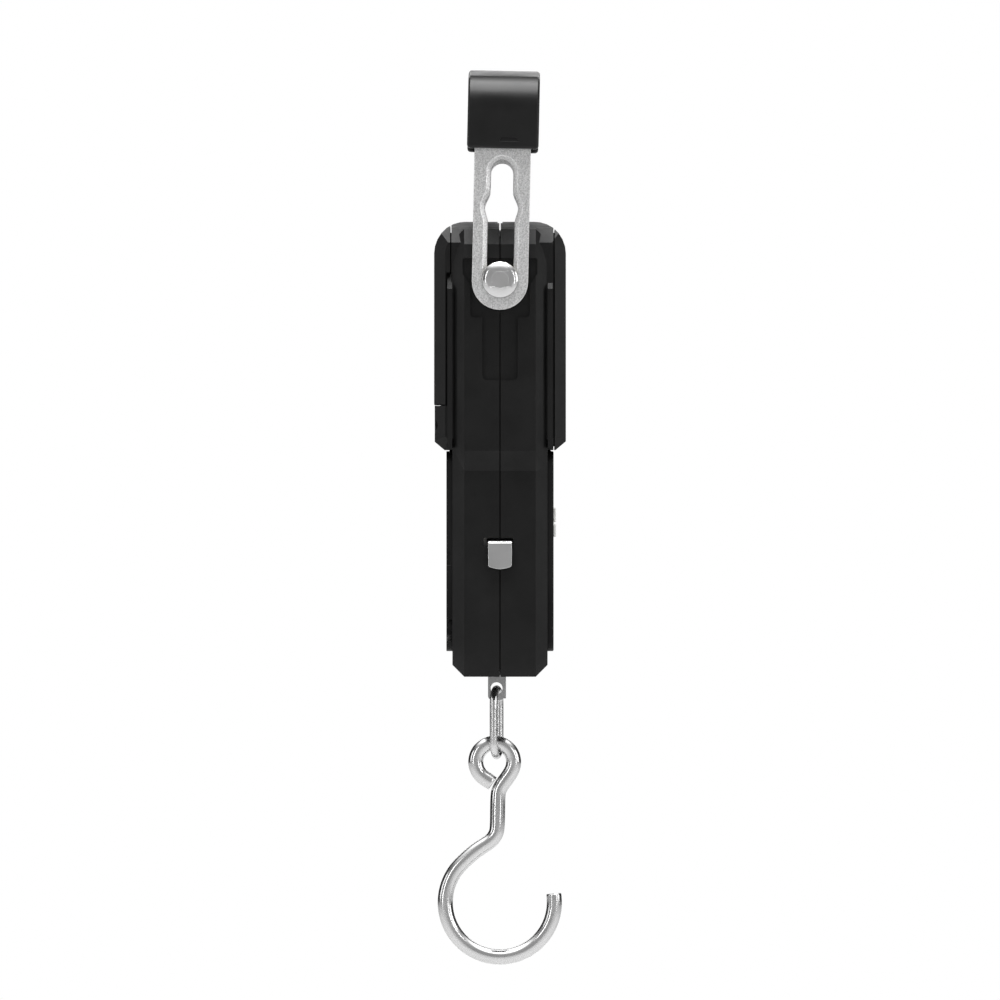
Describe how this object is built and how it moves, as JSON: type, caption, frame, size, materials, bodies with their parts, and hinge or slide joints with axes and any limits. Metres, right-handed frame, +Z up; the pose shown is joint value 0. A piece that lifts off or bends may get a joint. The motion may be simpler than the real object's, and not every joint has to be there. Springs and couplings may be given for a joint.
{
  "type": "digital luggage scale",
  "caption": "Hanging digital luggage scale with a bail handle on slotted steel legs, a display, keys, a pull-out tape measure and a wire hook on a link.",
  "frame": {"origin": "underside of the middle of the grip, where the fingers carry the scale", "axes": "+Z up along the scale, -Y out of the display, X across the scale along the bail's pivot axis"},
  "size_m": [0.0772, 0.0328, 0.2235],
  "materials": {
    "black_shell": "fine-textured black moulded plastic",
    "black_trim": "satin black moulded plastic",
    "grip_black": "smooth satin black plastic",
    "white_button": "white moulded plastic",
    "nylon": "natural nylon",
    "blasted_steel": "bead-blasted steel, light grey and fine-grained, with bright edges",
    "polished_steel": "polished stainless steel",
    "zinc_steel": "zinc-plated steel",
    "spring_steel": "spring steel",
    "milled_aluminium": "milled aluminium",
    "clear_window": "clear tinted acrylic",
    "lcd_glass": "grey-green liquid crystal panel",
    "light_guide": "white light guide",
    "conductive_rubber": "zebra strip rubber",
    "circuit_board": "green solder mask",
    "chip_black": "black epoxy",
    "cell_wrap": "plain coloured battery sleeve",
    "tape_enamel": "yellow enamelled steel tape"
  },
  "bodies": {
    "bail": {"bail_strap": "blasted_steel", "grip_cover": "grip_black", "grip_liner": "grip_black"},
    "pivot": {"pivot_shaft": "polished_steel", "pivot_bush_left": "nylon", "pivot_bush_right": "nylon", "pivot_screw_left": "polished_steel", "pivot_screw_right": "polished_steel"},
    "casing": {"front_shell": "black_shell", "rear_shell": "black_shell", "lcd_bezel": "black_shell", "lcd_window": "clear_window", "lcd_glass": "lcd_glass", "lcd_backlight": "light_guide", "zebra_strip_upper": "conductive_rubber", "zebra_strip_lower": "conductive_rubber", "main_board": "circuit_board", "board_screw_left": "zinc_steel", "board_screw_right": "zinc_steel", "processor_chip": "chip_black", "buzzer": "chip_black", "switch_power": "chip_black", "switch_hold": "chip_black", "switch_unit": "chip_black", "keypad_plate": "black_trim", "rear_plate": "black_trim", "case_screw_upper_left": "zinc_steel", "case_screw_upper_right": "zinc_steel", "case_screw_lower_left": "zinc_steel", "case_screw_lower_right": "zinc_steel", "battery_tray": "black_trim", "battery_upper": "cell_wrap", "battery_lower": "cell_wrap", "contact_plate_upper": "spring_steel", "contact_plate_lower": "spring_steel", "contact_spring_upper": "spring_steel", "contact_spring_lower": "spring_steel", "load_cell": "milled_aluminium", "hook_stirrup": "zinc_steel", "cell_screw_left": "zinc_steel", "cell_screw_right": "zinc_steel", "reel_axle": "zinc_steel"},
    "door": {"battery_door": "black_shell"},
    "power_key": {"button_power": "white_button"},
    "hold_key": {"button_hold": "white_button"},
    "unit_key": {"button_unit": "white_button"},
    "tape": {"tape_blade": "tape_enamel", "tape_end_hook": "polished_steel"},
    "reel": {"tape_coil": "tape_enamel", "tape_spool": "nylon", "reel_spring": "spring_steel"},
    "link_body": {"link": "polished_steel"},
    "hook_body": {"hook": "polished_steel"}
  },
  "joints": [
    {"name": "bail_slide", "type": "slide", "parent": "bail", "child": "pivot", "axis": [0, -0.0209, 0.9998], "range_m": [0, 0.0255]},
    {"name": "bail_swing", "type": "hinge", "parent": "pivot", "child": "casing", "pos_m": [0, 0.00096, -0.04579], "axis": [1, 0, 0], "range_deg": [-90, 90]},
    {"name": "door_slide", "type": "slide", "parent": "casing", "child": "door", "axis": [0, 0, 1], "range_m": [0, 0.006]},
    {"name": "power_press", "type": "slide", "parent": "casing", "child": "power_key", "axis": [0, 1, 0], "range_m": [0, 0.0005], "stiffness_N_per_m": 3000},
    {"name": "hold_press", "type": "slide", "parent": "casing", "child": "hold_key", "axis": [0, 1, 0], "range_m": [0, 0.0005], "stiffness_N_per_m": 3000},
    {"name": "unit_press", "type": "slide", "parent": "casing", "child": "unit_key", "axis": [0, 1, 0], "range_m": [0, 0.0005], "stiffness_N_per_m": 3000},
    {"name": "tape_pull", "type": "slide", "parent": "casing", "child": "tape", "axis": [-1, 0, 0], "range_m": [0, 0.025], "stiffness_N_per_m": 20},
    {"name": "reel_spin", "type": "hinge", "parent": "casing", "child": "reel", "pos_m": [0.002, 0.00096, -0.12449], "axis": [0, 1, 0], "range_deg": [-114, 0]},
    {"name": "link_swing", "type": "hinge", "parent": "casing", "child": "link_body", "pos_m": [0, 0.00181, -0.14779], "axis": [1, 0, 0], "range_deg": [-60, 60]},
    {"name": "hook_swing", "type": "hinge", "parent": "link_body", "child": "hook_body", "pos_m": [0, 0.00181, -0.16444], "axis": [1, 0, 0], "range_deg": [-70, 70]}
  ],
  "couplings": [
    {"joint": "reel_spin", "follows": "tape_pull", "rad_per_m": -78.7}
  ]
}
